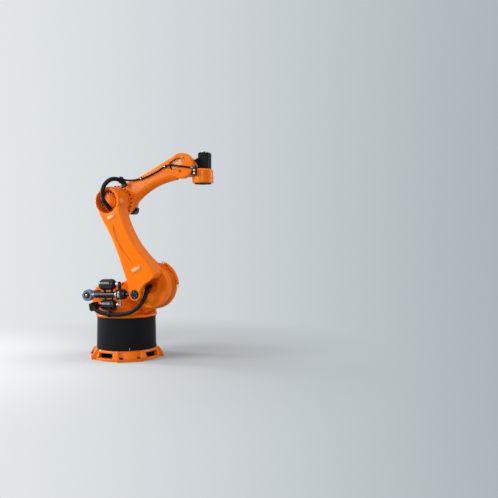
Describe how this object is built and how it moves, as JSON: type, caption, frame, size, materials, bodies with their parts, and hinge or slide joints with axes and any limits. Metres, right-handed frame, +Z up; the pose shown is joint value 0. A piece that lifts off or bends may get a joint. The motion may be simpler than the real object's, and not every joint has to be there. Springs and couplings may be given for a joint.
{
  "type": "palletizing robot arm",
  "caption": "Floor-standing palletizing robot arm with a turning column, leaning link arm with gas balancer, rising forearm and a hanging wrist with a tool flange.",
  "frame": {"origin": "on the turning axis of the base, on the floor, at the centre of the foot's bolt pattern", "axes": "+Z up along the turning axis; the foot pads lie on the diagonals of X and Y and the windows face X and Y; the arm points 10 degrees from +X towards +Y"},
  "size_m": [1.8696, 1.0554, 2.9208],
  "materials": {
    "orange_paint": "satin",
    "black_paint": "satin",
    "steel": "satin",
    "chrome": "polished",
    "rubber": "matte",
    "black_plastic": "matte",
    "machined_metal": "machined",
    "white_plastic": "matte",
    "yellow_plastic": "gloss"
  },
  "bodies": {
    "base": {"base_foot": "orange_paint", "foot_core": "black_paint", "base_drum": "black_paint", "turntable_ring": "rubber"},
    "column": {"turntable": "orange_paint", "column_casting": "orange_paint", "shoulder_motor": "black_paint", "trunnion_pin": "black_paint", "stop_bracket": "orange_paint", "stop_buffers": "white_plastic", "hose_box": "black_plastic", "hose_clamp": "black_plastic", "rim_caps": "yellow_plastic", "lower_hose": "rubber"},
    "balancer": {"balancer_eye": "steel", "balancer_tube": "black_paint", "balancer_manifold": "black_paint", "accumulator_upper": "black_paint", "accumulator_lower": "black_paint", "accumulator_valves": "chrome"},
    "rod": {"balancer_rod": "black_paint"},
    "link": {"link_arm": "orange_paint", "balancer_pin": "steel", "elbow_cover": "orange_paint", "upper_hose": "rubber"},
    "forearm": {"forearm": "orange_paint", "elbow_flange": "orange_paint", "elbow_motor": "black_paint", "hose_bracket": "black_plastic", "cable_clips": "black_plastic", "wrist_motor": "black_paint", "wrist_cover": "machined_metal", "wrist_cable": "rubber"},
    "wrist": {"wrist": "orange_paint", "wrist_shaft": "steel", "flange_motor": "black_paint", "motor_plug": "black_plastic", "wrist_connector": "black_plastic"},
    "flange": {"tool_flange": "black_paint"}
  },
  "joints": [
    {"name": "base_turn", "type": "hinge", "parent": "base", "child": "column", "pos_m": [0, 0, 0.6], "axis": [0, 0, 1], "range_deg": [-195, 175]},
    {"name": "arm_swing", "type": "hinge", "parent": "column", "child": "link", "pos_m": [0.51133, -0.02052, 1.045], "axis": [-0.1736, 0.9848, 0], "range_deg": [-16, 134], "deforming": ["lower_hose"]},
    {"name": "elbow", "type": "hinge", "parent": "link", "child": "forearm", "pos_m": [0.00728, -0.20688, 2.23261], "axis": [0.1736, -0.9848, 0], "range_deg": [-50, 88], "deforming": ["upper_hose"]},
    {"name": "wrist_tilt", "type": "hinge", "parent": "forearm", "child": "wrist", "pos_m": [0.94533, 0.16669, 2.71482], "axis": [0.1736, -0.9848, 0], "range_deg": [-30, 90], "deforming": ["wrist_cable"]},
    {"name": "flange_turn", "type": "hinge", "parent": "wrist", "child": "flange", "pos_m": [1.19153, 0.2101, 2.46682], "axis": [0, 0, -1], "range_deg": [-350, 350]},
    {"name": "balancer_tilt", "type": "hinge", "parent": "column", "child": "balancer", "pos_m": [-0.32863, -0.43975, 0.906], "axis": [0.1736, -0.9848, 0], "range_deg": [-2.5, 17.2]},
    {"name": "balancer_stroke", "type": "slide", "parent": "balancer", "child": "rod", "axis": [0.9837, 0.1734, 0.0481], "range_m": [-0.012, 0.086]}
  ],
  "couplings": [
    {"joint": "balancer_tilt", "follows": "arm_swing", "ratio": 0.125},
    {"joint": "balancer_stroke", "follows": "arm_swing", "m_per_rad": 0.036}
  ]
}
